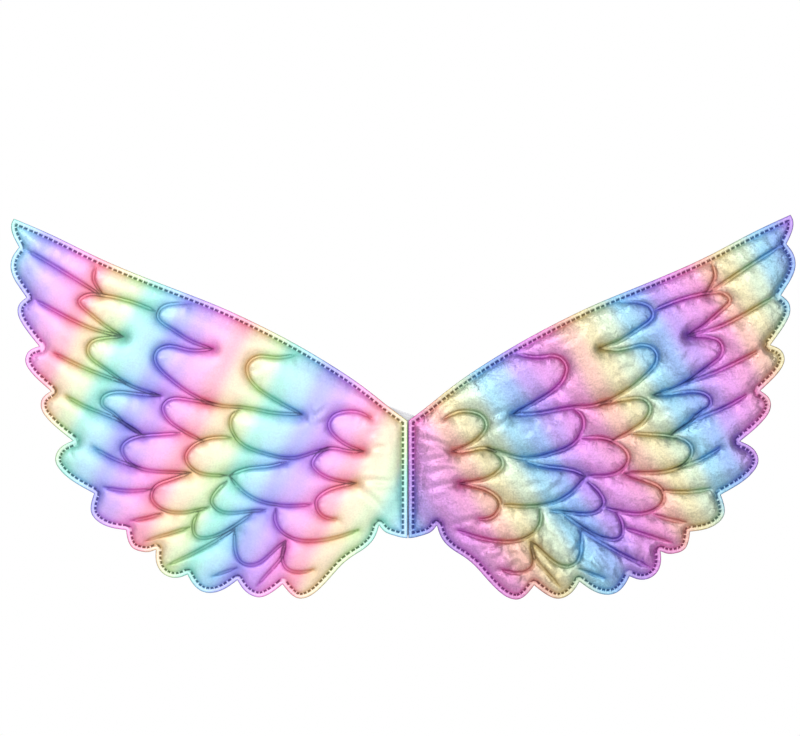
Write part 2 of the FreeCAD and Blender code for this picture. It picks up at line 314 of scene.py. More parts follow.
# ---------------------------------------------------------------- the quilted wing
class Plan:
    """A triangulated wing outline, with every vertex's distance from the edge and from each weld."""

    def __init__(self, side, layout):
        self.side = side
        edge = outline(side, layout["edge"])
        loop = np.concatenate([edge, edge[:1]])
        welds = [spline(spread(line, side), 0.5) for line in WELDS]
        points = self.lay_points(edge, loop, welds, layout)
        vectors = [Vector(p) for p in points]
        ring = [(i, (i + 1) % len(edge)) for i in range(len(edge))]
        made = delaunay_2d_cdt(vectors, ring, [], 0, 1e-4, True)
        self.at = np.array([tuple(v) for v in made[0]], float)
        triangles = np.array(made[2], int)
        on_edge = np.array([min(origin) < len(edge) for origin in made[3]])
        kept = ~on_edge[triangles].all(1)
        kept[~kept] = inside(self.at[triangles[~kept]].mean(1), loop)
        self.triangles = triangles[kept]
        self.links = self.all_links()
        self.rim, self.rim_run, _ = nearest_on(self.at, loop)
        self.rim_length = np.linalg.norm(np.diff(loop, axis=0), axis=1).sum()
        self.welds = [self.reach_of(line) for line in welds]

    @staticmethod
    def lay_points(edge, loop, welds, layout):
        """Rows of points beside the edge and the welds, a triangular grid elsewhere, none too close."""
        along = np.roll(edge, -1, 0) - np.roll(edge, 1, 0)
        along /= np.linalg.norm(along, axis=1)[:, None]
        inward = np.stack([along[:, 1], -along[:, 0]], 1)
        rows = []
        for offset in layout["rim_rows"]:
            row = edge + inward * offset
            rows.append(row[nearest_on(row, loop)[0] > offset * 0.93])
        for line in welds:
            line = even(line, layout["weld_step"])
            way = np.gradient(line, axis=0)
            way /= np.linalg.norm(way, axis=1)[:, None]
            across = np.stack([way[:, 1], -way[:, 0]], 1)
            for offset in layout["weld_rows"]:
                for sign in (1, -1) if offset else (1,):
                    row = line + across * offset * sign
                    rows.append(row[nearest_on(row, line)[0] > offset * 0.93])
        low, high = edge.min(0), edge.max(0)
        h = layout["hex"]
        xs, zs = np.meshgrid(np.arange(low[0], high[0], h), np.arange(low[1], high[1], h * 0.866))
        xs = xs + (np.arange(len(zs)) % 2 * h / 2)[:, None]
        grid = np.stack([xs.ravel(), zs.ravel()], 1)
        inner = np.concatenate(rows)
        coarse = np.concatenate([edge[::2], edge[:1]])
        inner = inner[inside(inner, coarse)]
        grid = grid[inside(grid, coarse)]
        far = np.ones(len(grid), bool)
        tree = kdtree.KDTree(len(inner) + len(edge))
        for i, p in enumerate(np.concatenate([inner, edge])):
            tree.insert((p[0], p[1], 0), i)
        tree.balance()
        for i, p in enumerate(grid):
            far[i] = tree.find((p[0], p[1], 0))[2] > h * 0.62
        points = np.concatenate([edge, inner, grid[far]])
        taken, kept = set(), []
        cell = layout["near"]
        for i, (x, z) in enumerate(points):
            key = (round(x / cell), round(z / cell))
            if i >= len(edge) and key in taken:
                continue
            taken.add(key)
            kept.append(i)
        return points[kept]

    def all_links(self):
        """Each triangle edge once, and those that only one triangle has, in its turning order."""
        t = self.triangles
        pairs = np.concatenate([t[:, [0, 1]], t[:, [1, 2]], t[:, [2, 0]]])
        ordered = np.sort(pairs, 1)
        _, first, count = np.unique(ordered, axis=0, return_index=True, return_counts=True)
        self.border = pairs[first[count == 1]]
        return ordered[first]

    def reach_of(self, line, limit=16.0):
        """Which vertices lie near a weld, and where: index, distance, place along, side, length."""
        low, high = line.min(0) - limit, line.max(0) + limit
        near = np.nonzero(((self.at > low) & (self.at < high)).all(1))[0]
        d, run, lateral = nearest_on(self.at[near], line)
        return near, d, run, lateral, (len(line) - 1) * 0.5

    def fullness(self, spacing):
        """How far the wadding lifts the cloth, 0 to 1: a sheet held at the welds and blown up between."""
        held = self.rim < FLANGE_WIDTH + 0.6
        for near, d, _, _, _ in self.welds:
            held[near[d < 0.6]] = True
        lift = (spacing / PUFF_REACH) ** 2 / 4
        u = np.zeros(len(self.at))
        a, b = self.links.T
        degree = np.bincount(a, minlength=len(u)) + np.bincount(b, minlength=len(u))
        for _ in range(LIFT_ROUNDS):
            total = np.bincount(a, u[b], len(u)) + np.bincount(b, u[a], len(u))
            u = (total / degree + lift) / (1 + lift)
            u[held] = 0
        for _ in range(SOFTEN_ROUNDS):
            total = np.bincount(a, u[b], len(u)) + np.bincount(b, u[a], len(u))
            u = 0.5 * u + 0.5 * total / degree
        return u

    def profile(self, right_width=1.7, left_width=4.0, edge_width=3.2):
        """0 on the welds and the flange, rising to 1 away from them, faster on the right of a weld."""
        rise = np.sqrt(1 - np.exp(-((np.maximum(self.rim - FLANGE_WIDTH, 0) / edge_width) ** 1.4)))
        for near, d, _, lateral, _ in self.welds:
            width = left_width + (right_width - left_width) * (0.5 + 0.5 * lateral)
            rise[near] *= np.sqrt(1 - np.exp(-((d / width) ** 1.3)) * 0.999)
        return rise


def weld_marks(plan):
    """How much of a weld's two pressed lines passes under each vertex, 0 to 1."""
    pressed = np.zeros(len(plan.at))
    for near, d, run, _, length in plan.welds:
        ends = smooth(-0.5, 5.0, run) * smooth(-0.5, 5.0, length - run)
        gap = WELD_LINE_GAP * (0.25 + 0.75 * ends)
        mark = np.exp(-(((d - gap) / WELD_LINE_HALF) ** 2)) * (0.45 + 0.55 * ends)
        pressed[near] = np.maximum(pressed[near], mark)
    return pressed


def dash_marks(plan):
    """The row of pressed dashes that runs round the wing inside its edge, 0 to 1."""
    pitch = plan.rim_length / round(plan.rim_length / DASH_PITCH)
    phase = np.abs((plan.rim_run / pitch) % 1 - 0.5) * 2
    dash = 1 - smooth(DASH_SHARE - 0.12, DASH_SHARE + 0.12, phase)
    return dash * (1 - smooth(DASH_HALF_WIDTH * 0.6, DASH_HALF_WIDTH * 1.25, np.abs(plan.rim - DASH_ROW)))


def puckers(plan):
    """Small folds that run away from each weld at right angles, strongest just beside it."""
    height = np.zeros(len(plan.at))
    for number, (near, d, run, lateral, length) in enumerate(plan.welds):
        seed = number * 2 + (plan.side > 0)
        inner, outer = rough_line(length, 3.4, seed), rough_line(length, 4.6, seed + 500)
        wave = np.where(lateral > 0, inner(run), 0.8 * outer(run))
        height[near] += wave * (d / 2.4) * np.exp(1 - d / 2.4) * 0.9 * np.abs(lateral)
    rim = rough_line(plan.rim_length, 4.5, 77 + plan.side)
    d = np.maximum(plan.rim - FLANGE_WIDTH, 0)
    return height + 0.9 * rim(plan.rim_run) * (d / 2.2) * np.exp(1 - d / 2.2)


def crinkles(plan):
    """Sharp little ridges, as in foil-coated cloth that has been folded, and a slow unevenness."""
    height = np.empty(len(plan.at))
    for i, (x, z) in enumerate(plan.at):
        place = Vector((x * 0.075, z * 0.095, plan.side * 5.0))
        sharp = noise.ridged_multi_fractal(place, 0.9, 2.1, 3, 1.0, 2.2) - 1.1
        slow = noise.noise(Vector((x * 0.035, z * 0.04, plan.side * 9.0)))
        height[i] = sharp * CRINKLE[plan.side] + slow * 0.55
        if plan.side == RIGHT and z < LOOSE_BELOW:
            fold = noise.noise(Vector((x * 0.16 + z * 0.10, z * 0.07 - x * 0.05, 2.0)))
            height[i] += (0.9 - 2.6 * abs(fold)) * min(1.0, (LOOSE_BELOW - z) / 22.0)
    return height


def creases(plan):
    """The listed creases: a narrow valley with a lip on each side, fading at both ends."""
    height = np.zeros(len(plan.at))
    for start, end, depth, half in CREASES[plan.side]:
        ends = spread([start, end], plan.side)
        middle = ends.mean(0) + np.array([ends[1, 1] - ends[0, 1], ends[0, 0] - ends[1, 0]]) * 0.08
        line = spline([ends[0], middle, ends[1]], 0.5)
        near, d, run, _, length = plan.reach_of(line, 9.0)
        fade = np.sin(np.pi * np.clip(run / length, 0.04, 0.96)) ** 0.7
        lips = 0.55 * np.exp(-(((d - 2 * half) / half) ** 2))
        height[near] += depth * fade * (lips - np.exp(-((d / half) ** 2)))
    return height


def face_surface(plan):
    """Front of the wing: y in mm at each vertex, and how much painted shade and painted highlight its colour
    gets.
    """
    side = plan.side
    full = plan.fullness(FACE_LAYOUT["hex"]) ** 0.65
    rise = plan.profile()
    inside = smooth(FLANGE_WIDTH, FLANGE_WIDTH + 4, plan.rim)
    lift = PUFF[side] * full * rise
    lift += inside * rise * (puckers(plan) * PUCKER[side] * 2.2 + crinkles(plan) + creases(plan))
    lift += inside * WELD_HEIGHT
    pressed, dashes = weld_marks(plan) * inside, dash_marks(plan)
    wavy = 0.16 * np.sin(plan.rim_run / 9.0) * (1 - inside)
    y = FLANGE_FRONT - lift + pressed * WELD_LINE_DEPTH + dashes * DASH_DEPTH - wavy
    y += 0.28 * np.exp(-((plan.rim / 0.3) ** 2))
    y = np.minimum(y, BACKING_FRONT - 0.15)
    # Painted shade: darker hues on the slopes beside the welds and just inside the dash row, in the weld
    # lines and dashes, and a dark line along the cut edge.
    within_dashes = smooth(3.2, 4.0, plan.rim)
    right_reach, left_reach = SHADE_REACH[side]
    shade = within_dashes * (0.8 * (1 - plan.profile(right_reach, left_reach, 1.7)) + 0.35 * pressed)
    painted_shade = np.clip(np.maximum(shade, dashes * 1.15), 0, 1)
    painted_shade = np.maximum(painted_shade, np.exp(-((plan.rim / 0.45) ** 2)))
    # Painted highlight: the flange and the crowns of the puffs are whitened.
    flange = (1 - within_dashes) * (1 - dashes) * smooth(0.5, 1.1, plan.rim)
    crown = smooth(0.45, 1.0, plan.profile(5.0, 6.5, 4.0)) * PAINTED_CROWN_HIGHLIGHT[side]
    bright = np.clip(np.maximum(PAINTED_FLANGE_HIGHLIGHT[side] * flange, crown), 0, 1)
    return y, painted_shade, bright


def rear_surface(plan):
    """Rear of the wing: the backing puffs a little between the welds and stays flat beside the seam."""
    full = plan.fullness(REAR_LAYOUT["hex"]) ** 0.8
    rise = plan.profile(3.0, 3.0)
    clear = smooth(7.0, 22.0, plan.at[:, 0])
    slow = np.array([noise.noise(Vector((x * 0.05, z * 0.05, 3.0 * plan.side))) for x, z in plan.at])
    lift = PUFF_REAR * full * rise * clear + 0.18 * slow * rise * clear
    pressed, dashes = weld_marks(plan), dash_marks(plan)
    y = BACKING_REAR + lift - 0.3 * pressed - 0.25 * dashes
    y -= 0.2 * np.exp(-((plan.rim / 0.4) ** 2))
    # Painted shade: the backing darkens beside the welds, and in the weld lines and dashes.
    shade = 0.45 * (1 - plan.profile(3.0, 3.0, 1.5)) * smooth(3.2, 4.0, plan.rim)
    return y, np.clip(np.maximum(pressed + dashes, shade), 0, 1)


def mesh_piece(name, vertices, faces, attributes):
    """A smooth-shaded mesh object in metres, with one number per vertex for each named attribute."""
    mesh = bpy.data.meshes.new(name)
    mesh.from_pydata([tuple(v) for v in np.array(vertices) * MM], [], [tuple(map(int, f)) for f in faces])
    mesh.validate()
    for label, values in attributes.items():
        layer = mesh.attributes.new(label, "FLOAT", "POINT")
        layer.data.foreach_set("value", np.array(values, np.float32))
    mesh.shade_smooth()
    piece = bpy.data.objects.new(name, mesh)
    bpy.context.scene.collection.objects.link(piece)
    return piece


def standing(plan, y):
    """Plan points and depths as points in the row frame."""
    return np.stack([plan.side * plan.at[:, 0], y, plan.at[:, 1]], 1)


def with_cut_edge(plan, y, inner_y, towards_front):
    """The sheet's points and triangles, with its cut edge turned back to inner_y."""
    points = standing(plan, y)
    border = plan.border
    rim = np.unique(border)
    turned = {v: len(points) + i for i, v in enumerate(rim)}
    back = points[rim].copy()
    back[:, 1] = inner_y
    walls = []
    for a, b in border:
        walls += [(b, a, turned[a]), (b, turned[a], turned[b])]
    faces = np.concatenate([plan.triangles, np.array(walls)])
    if (plan.side > 0) != towards_front:
        faces = faces[:, ::-1]
    return np.concatenate([points, back]), faces, rim


def make_face(side, material):
    plan = Plan(side, FACE_LAYOUT)
    y, painted_shade, bright = face_surface(plan)
    points, faces, rim = with_cut_edge(plan, y, BACKING_FRONT, True)
    # The turned cut edge gets full painted shade and no painted highlight.
    painted_shade, bright = np.concatenate([painted_shade, np.ones(len(rim))]), np.concatenate([bright, np.zeros(len(rim))])
    piece = mesh_piece(f"{NAMES[side]}_wing_face", points, faces, {"painted_shade": painted_shade, "bright": bright})
    piece.data.materials.append(material)
    return piece, plan, y


def make_backing(side, material):
    plan = Plan(side, REAR_LAYOUT)
    y, pressed = rear_surface(plan)
    points, faces, rim = with_cut_edge(plan, y, BACKING_FRONT, False)
    pressed = np.concatenate([pressed, np.zeros(len(rim))])
    piece = mesh_piece(f"{NAMES[side]}_wing_backing", points, faces, {"pressed": pressed})
    piece.data.materials.append(material)
    return piece


def make_wadding(side, face_plan, face_y, material):
    """The sheet of wadding just under the face: thick in the puffs, crushed thin at the welds."""
    plan = Plan(side, WADDING_LAYOUT)
    tree = kdtree.KDTree(len(face_plan.at))
    for i, (x, z) in enumerate(face_plan.at):
        tree.insert((x, z, 0), i)
    tree.balance()
    inside = plan.rim > FLANGE_WIDTH + 0.5
    front = np.empty(len(plan.at))
    for i, (x, z) in enumerate(plan.at):
        near = [j for _, j, _ in tree.find_range((x, z, 0), WADDING_REACH)]
        front[i] = face_y[near].max() if near else BACKING_FRONT
    front = np.where(inside, np.minimum(front + 0.5, BACKING_FRONT - 0.25), BACKING_FRONT - 0.25)
    used = plan.triangles[inside[plan.triangles].all(1)]
    order = np.unique(used)
    index = np.full(len(plan.at), -1)
    index[order] = np.arange(len(order))
    used = index[used]
    top = standing(plan, front)[order]
    bottom = standing(plan, np.full(len(plan.at), BACKING_FRONT - 0.05))[order]
    n = len(order)
    pairs = np.concatenate([used[:, [0, 1]], used[:, [1, 2]], used[:, [2, 0]]])
    _, first, count = np.unique(np.sort(pairs, 1), axis=0, return_index=True, return_counts=True)
    walls = []
    for a, b in pairs[first[count == 1]]:
        walls += [(b, a, a + n), (b, a + n, b + n)]
    faces = np.concatenate([used, used[:, ::-1] + n, np.array(walls)])
    if side < 0:
        faces = faces[:, ::-1]
    piece = mesh_piece(f"{NAMES[side]}_wing_wadding", np.concatenate([top, bottom]), faces, {})
    piece.data.materials.append(material)
    return piece


# ---------------------------------------------------------------- straps, tape and stitches
def strap_line(side):
    """The strap's middle line in the row frame, and its width direction, every millimetre."""
    lead_out = [(0.5, LOWER_Z), (-SEWN_END / 2, LOWER_Z), (-SEWN_END, LOWER_Z)]
    flat = spline(LOOPS[side] + lead_out, 1.0)
    r, z = flat.T
    beyond = (r + np.sqrt(r * r + STRAP_BEND_WIDTH**2)) / 2
    before = r - beyond
    c, s = math.cos(STRAP_REST_ANGLE), math.sin(STRAP_REST_ANGLE)
    x = side * (STRAP_HINGE_X + before + beyond * c)
    y = STRAP_HINGE_Y[side] + beyond * s
    line = np.stack([x, y, z], 1)
    along = np.gradient(line, axis=0)
    along /= np.linalg.norm(along, axis=1)[:, None]
    share_out = (1 + r / np.sqrt(r * r + STRAP_BEND_WIDTH**2))[:, None] / 2
    flat_out = np.array([side, 0, 0]) * (1 - share_out) + np.array([side * c, s, 0]) * share_out
    plane = np.cross(flat_out, [0, 0, side])
    plane /= np.linalg.norm(plane, axis=1)[:, None]
    width = np.cross(plane, along)
    width /= np.linalg.norm(width, axis=1)[:, None]
    run = np.concatenate(([0.0], np.cumsum(np.linalg.norm(np.diff(line, axis=0), axis=1))))
    share = np.clip((run - SEWN_END) / (run[-1] - 2 * SEWN_END), 0, 1)
    turn = math.pi / 2 * np.minimum(1, np.minimum(3.2 * share, 3.2 * (1 - share)))
    turn = (math.pi / 2 * np.sin(turn) ** 2)[:, None]
    return line, width * np.cos(turn) + plane * np.sin(turn), along, run


def make_strap(side, material):
    """A flat woven elastic: rounded selvedges, fine lengthwise cords and slight cross gathers."""
    line, width, along, run = strap_line(side)
    thick = np.cross(along, width)
    half_w, half_t = STRAP_WIDTH / 2, STRAP_THICK / 2
    spots = np.linspace(-half_w + 0.35, half_w - 0.35, 29)
    cords = half_t * (0.86 + 0.14 * np.cos(spots * 2 * math.pi / 1.6))
    upper = [(w, t) for w, t in zip(spots, cords)]
    edge = [(half_w - 0.1, half_t * 0.62), (half_w, 0), (half_w - 0.1, -half_t * 0.62)]
    lower = [(w, -t) for w, t in reversed(upper)]
    ring = np.array(upper + edge + lower + [(-w, -t) for w, t in edge])
    ripple = 1 + 0.05 * np.sin(run * 2 * math.pi / 2.6)
    points, across, length = [], [], []
    for i in range(len(line)):
        points.append(line[i] + ring[:, :1] * width[i] + ring[:, 1:] * ripple[i] * thick[i])
        across.append(ring[:, 0])
        length.append(np.full(len(ring), run[i]))
    m, n = len(ring), len(line)
    faces = []
    for i in range(n - 1):
        for j in range(m):
            k = (j + 1) % m
            faces.append((i * m + j, i * m + k, (i + 1) * m + k, (i + 1) * m + j))
    faces += [tuple(range(m))[::-1], tuple(range((n - 1) * m, n * m))]
    if side < 0:
        faces = [f[::-1] for f in faces]
    values = {"across": np.concatenate(across), "run": np.concatenate(length)}
    piece = mesh_piece(f"{NAMES[side]}_elastic", np.concatenate(points), faces, values)
    piece.data.materials.append(material)
    return piece


def thread_piece(name, node, material):
    """Each stitch of a CAD thread node as a rounded, slightly arched length of thread."""
    boxes = stitch_boxes(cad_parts[node])
    points, faces = [], []
    sides, rings = 10, 9
    for low, high in boxes:
        centre, half = (low + high) / 2, (high - low) / 2
        lengthwise = 2 if half[2] > half[0] else 0
        sideways = 2 - lengthwise
        radius = half[sideways]
        first = len(points)
        for i in range(rings):
            t = -1 + 2 * i / (rings - 1)
            fat = max(0.12, 1 - t**4) ** 0.5
            for j in range(sides):
                a = 2 * math.pi * j / sides
                p = centre.copy()
                p[lengthwise] += t * half[lengthwise]
                p[sideways] += math.cos(a) * radius * fat
                p[1] += math.sin(a) * half[1] * fat - t * t * half[1] * 0.7
                points.append(p)
        for i in range(rings - 1):
            for j in range(sides):
                k = (j + 1) % sides
                a, b = first + i * sides, first + (i + 1) * sides
                faces.append((a + j, a + k, b + k, b + j))
        faces += [tuple(range(first, first + sides))[::-1]]
        faces += [tuple(range(first + (rings - 1) * sides, first + rings * sides))]
    piece = mesh_piece(name, points, faces, {})
    bpy.context.view_layer.objects.active = piece
    piece.select_set(True)
    bpy.ops.object.mode_set(mode="EDIT")
    bpy.ops.mesh.select_all(action="SELECT")
    bpy.ops.mesh.normals_make_consistent(inside=False)
    bpy.ops.object.mode_set(mode="OBJECT")
    piece.select_set(False)
    piece.data.materials.append(material)
    return piece


def stitch_boxes(node):
    """Lowest and highest corner, in mm, of each separate stitch in a CAD node."""
    groups = []
    for p in np.array([v.co for v in node.data.vertices], float) / MM:
        home = next((g for g in groups if np.linalg.norm(g[0] - p) < STITCH_REACH and near_box(g, p)), None)
        if home is None:
            groups.append([p])
        else:
            home.append(p)
    return [(np.min(group, 0), np.max(group, 0)) for group in groups]


def near_box(group, p):
    """True if p may belong to the same stitch: the two together are no longer than one stitch."""
    both = np.array(group + [p])
    size = both.max(0) - both.min(0)
    return size.max() < STITCH_LONGEST and np.sort(size)[1] < STITCH_WIDEST


# ---------------------------------------------------------------- materials
def linear(red, green, blue):
    """A colour given as it looks, 0 to 255 a channel, as the linear colour that shaders take."""
    def one(c):
        c /= 255
        return c / 12.92 if c <= 0.04045 else ((c + 0.055) / 1.055) ** 2.4
    return (one(red), one(green), one(blue), 1.0)


def new_material(name):
    material = bpy.data.materials.new(name)
    material.use_nodes = True
    nodes, links = material.node_tree.nodes, material.node_tree.links
    shader = nodes["Principled BSDF"]
    return material, nodes, links, shader


def node(nodes, kind, **values):
    made = nodes.new(kind)
    for key, value in values.items():
        if hasattr(made, key):
            setattr(made, key, value)
        else:
            made.inputs[key.replace("_", " ")].default_value = value
    return made


def ramp_node(nodes, stops):
    ramp = nodes.new("ShaderNodeValToRGB")
    band = ramp.color_ramp
    band.interpolation = "EASE"
    while len(band.elements) < len(stops):
        band.elements.new(0.5)
    for element, (place, colour) in zip(band.elements, stops):
        element.position = place
        element.color = colour
    return ramp


def mix(nodes, links, kind, factor, first, second):
    made = nodes.new("ShaderNodeMix")
    made.data_type = "RGBA"
    made.blend_type = kind
    for socket, value in ((made.inputs[0], factor), (made.inputs[6], first), (made.inputs[7], second)):
        if isinstance(value, bpy.types.NodeSocket):
            links.new(value, socket)
        else:
            socket.default_value = value
    return made.outputs[2]


def maths(nodes, links, kind, first, second=None):
    made = nodes.new("ShaderNodeMath")
    made.operation = kind
    for socket, value in zip(made.inputs, (first, second)):
        if isinstance(value, bpy.types.NodeSocket):
            links.new(value, socket)
        elif value is not None:
            socket.default_value = value
    return made.outputs[0]


def closed(colours):
    """Evenly spaced ramp stops that end on the colour they began with."""
    colours = colours + colours[:1]
    return [(i / (len(colours) - 1), linear(*c)) for i, c in enumerate(colours)]


PASTEL = {
    LEFT: [(164, 232, 220), (170, 218, 244), (166, 168, 240), (202, 160, 240), (242, 168, 230),
           (246, 168, 192), (248, 224, 192), (224, 240, 198)],
    RIGHT: [(176, 142, 218), (210, 142, 214), (216, 144, 194), (224, 178, 166), (220, 210, 168),
            (198, 214, 188), (148, 198, 220), (140, 172, 224)],
}
# Darker hues for the painted shade in and beside the welds, in the dashes and at the cut edge.
PAINTED_SHADE_HUES = {
    LEFT: [(60, 160, 140), (60, 140, 190), (80, 70, 190), (140, 60, 190), (200, 50, 160),
           (200, 50, 80), (190, 140, 50), (120, 170, 70)],
    RIGHT: [(90, 40, 170), (170, 40, 170), (190, 50, 130), (190, 90, 80), (170, 140, 60),
            (100, 150, 110), (40, 130, 190), (50, 80, 190)],
}
BANDS = {LEFT: (math.radians(-26), 0.100), RIGHT: (math.radians(30), 0.098)}
FILM = {
    LEFT: {"metallic": 0.35, "roughness": 0.42, "grain": 0.00006, "speck": 0.90},
    RIGHT: {"metallic": 0.72, "roughness": 0.36, "grain": 0.00026, "speck": 0.80},
}


def rainbow_film(side):
    """Foil-coated satin: slanting pastel bands, with painted shade in darker hues in and beside the welds and
    painted highlight on the crowns, and a fine pressed grain.
    """
    material, nodes, links, shader = new_material(f"{NAMES[side]}_rainbow_film")
    place = nodes.new("ShaderNodeTexCoord").outputs["Object"]
    split = nodes.new("ShaderNodeSeparateXYZ")
    links.new(place, split.inputs[0])
    angle, period = BANDS[side]
    across = maths(nodes, links, "ADD",
                   maths(nodes, links, "MULTIPLY", split.outputs["X"], math.cos(angle) / period),
                   maths(nodes, links, "MULTIPLY", split.outputs["Z"], math.sin(angle) / period))
    drift = node(nodes, "ShaderNodeTexNoise", Scale=14.0, Detail=2.0)
    links.new(place, drift.inputs["Vector"])
    wander = maths(nodes, links, "MULTIPLY", maths(nodes, links, "SUBTRACT", drift.outputs["Fac"], 0.5), 0.10)
    phase = maths(nodes, links, "FRACT", maths(nodes, links, "ADD", across, wander))
    pastel, painted_shade = ramp_node(nodes, closed(PASTEL[side])), ramp_node(nodes, closed(PAINTED_SHADE_HUES[side]))
    links.new(phase, pastel.inputs[0])
    links.new(phase, painted_shade.inputs[0])
    # Painted shade: the first attribute read here mixes in the darker hues and, at its top, darkens further
    # towards grey.
    depth = node(nodes, "ShaderNodeAttribute", attribute_name="painted_shade").outputs["Fac"]
    white = node(nodes, "ShaderNodeAttribute", attribute_name="bright").outputs["Fac"]
    in_welds = maths(nodes, links, "MULTIPLY", depth, 0.85)
    body = mix(nodes, links, "MIX", in_welds, pastel.outputs[0], painted_shade.outputs[0])
    # Painted highlight: the second attribute read here mixes in near-white on the puff crowns and the flange.
    on_crowns = maths(nodes, links, "MULTIPLY", white, 0.55)
    body = mix(nodes, links, "MIX", on_crowns, body, linear(253, 253, 254))
    darkest = ramp_node(nodes, [(0.72, (1.0, 1.0, 1.0, 1)), (1.0, (0.30, 0.30, 0.34, 1))])
    links.new(depth, darkest.inputs[0])
    body = mix(nodes, links, "MULTIPLY", 1.0, body, darkest.outputs[0])
    speck = node(nodes, "ShaderNodeTexNoise", Scale=900.0, Detail=3.0)
    links.new(place, speck.inputs["Vector"])
    look = FILM[side]
    tone = ramp_node(nodes, [(0.35, (look["speck"],) * 3 + (1,)), (0.65, (1.0, 1.0, 1.0, 1))])
    links.new(speck.outputs["Fac"], tone.inputs[0])
    body = mix(nodes, links, "MULTIPLY", 1.0, body, tone.outputs[0])
    links.new(body, shader.inputs["Base Color"])
    smoothest, roughest = look["roughness"] - 0.06, look["roughness"] + 0.1
    rough = ramp_node(nodes, [(0.3, (smoothest,) * 3 + (1,)), (0.7, (roughest,) * 3 + (1,))])
    links.new(speck.outputs["Fac"], rough.inputs[0])
    links.new(rough.outputs[0], shader.inputs["Roughness"])
    shader.inputs["Metallic"].default_value = look["metallic"]
    shader.inputs["Coat Weight"].default_value = 0.12
    shader.inputs["Coat Roughness"].default_value = 0.3
    grain = node(nodes, "ShaderNodeTexNoise", Scale=1500.0, Detail=2.0)
    links.new(place, grain.inputs["Vector"])
    wrinkle = node(nodes, "ShaderNodeTexNoise", Scale=210.0, Detail=4.0, Distortion=0.6)
    links.new(place, wrinkle.inputs["Vector"])
    fine = node(nodes, "ShaderNodeBump", Distance=look["grain"], Strength=0.6)
    links.new(grain.outputs["Fac"], fine.inputs["Height"])
    coarse = node(nodes, "ShaderNodeBump", Distance=look["grain"] * 6, Strength=0.5)
    links.new(wrinkle.outputs["Fac"], coarse.inputs["Height"])
    links.new(fine.outputs[0], coarse.inputs["Normal"])
    links.new(coarse.outputs[0], shader.inputs["Normal"])
    return material


def woven(name, colour, pitch, depth, attribute_axes=False, ribs=(1.0, 1.0), roughness=0.85, welded=False):
    """Plain cloth: two crossing sets of ribs, with painted shade a little darker between them, and a soft
    sheen.
    """
    material, nodes, links, shader = new_material(name)
    if attribute_axes:
        axes = nodes.new("ShaderNodeCombineXYZ")
        links.new(node(nodes, "ShaderNodeAttribute", attribute_name="run").outputs["Fac"], axes.inputs[0])
        links.new(node(nodes, "ShaderNodeAttribute", attribute_name="across").outputs["Fac"], axes.inputs[2])
        place, scale = axes.outputs[0], MM
    else:
        place, scale = nodes.new("ShaderNodeTexCoord").outputs["Object"], 1.0
    waves = []
    for direction, count in zip(("X", "Z"), ribs):
        wave = node(nodes, "ShaderNodeTexWave", wave_type="BANDS", bands_direction=direction,
                    Scale=scale / (pitch * count) * 0.314, Distortion=0.6, Detail=1.0)
        wave.inputs["Detail Scale"].default_value = 2.0
        links.new(place, wave.inputs["Vector"])
        waves.append(wave.outputs["Fac"])
    height = maths(nodes, links, "MULTIPLY", waves[0], waves[1])
    cloudy = node(nodes, "ShaderNodeTexNoise", Scale=60.0 * scale, Detail=3.0)
    links.new(place, cloudy.inputs["Vector"])
    # Painted shade: darker where the ribs are low.
    dark = tuple(c * 0.78 for c in colour[:3]) + (1,)
    shade = mix(nodes, links, "MIX", height, dark, colour)
    stain = ramp_node(nodes, [(0.3, (0.93, 0.93, 0.94, 1)), (0.7, (1, 1, 1, 1))])
    links.new(cloudy.outputs["Fac"], stain.inputs[0])
    shade = mix(nodes, links, "MULTIPLY", 1.0, shade, stain.outputs[0])
    # Painted shade: the pressed attribute darkens the backing in and beside the welds.
    if welded:
        pressed = node(nodes, "ShaderNodeAttribute", attribute_name="pressed").outputs["Fac"]
        shade = mix(nodes, links, "MULTIPLY", pressed, shade, (0.45, 0.45, 0.48, 1))
    links.new(shade, shader.inputs["Base Color"])
    shader.inputs["Roughness"].default_value = roughness
    shader.inputs["Sheen Weight"].default_value = 0.3
    shader.inputs["Sheen Roughness"].default_value = 0.5
    bump = node(nodes, "ShaderNodeBump", Distance=depth, Strength=0.8)
    links.new(height, bump.inputs["Height"])
    links.new(bump.outputs[0], shader.inputs["Normal"])
    return material


def fibrous(name, colour):
    """Soft wadding: matte, with tangled fibres."""
    material, nodes, links, shader = new_material(name)
    place = nodes.new("ShaderNodeTexCoord").outputs["Object"]
    fibre = node(nodes, "ShaderNodeTexNoise", Scale=700.0, Detail=6.0, Distortion=2.0)
    links.new(place, fibre.inputs["Vector"])
    tone = ramp_node(nodes, [(0.3, tuple(c * 0.8 for c in colour[:3]) + (1,)), (0.7, colour)])
    links.new(fibre.outputs["Fac"], tone.inputs[0])
    links.new(tone.outputs[0], shader.inputs["Base Color"])
    shader.inputs["Roughness"].default_value = 0.95
    shader.inputs["Sheen Weight"].default_value = 0.4
    bump = node(nodes, "ShaderNodeBump", Distance=0.0002, Strength=0.8)
    links.new(fibre.outputs["Fac"], bump.inputs["Height"])
    links.new(bump.outputs[0], shader.inputs["Normal"])
    return material


# ---------------------------------------------------------------- camera, lights and floor
CAMERA_LENS = 85.0
CAMERA_DISTANCE = 1.2063
CAMERA_AIM = (-0.0051, -0.005, 0.0712)
FLOOR_Z = -0.45
FLOOR_RADIUS = 1.2
FLOOR_SIDES = 96


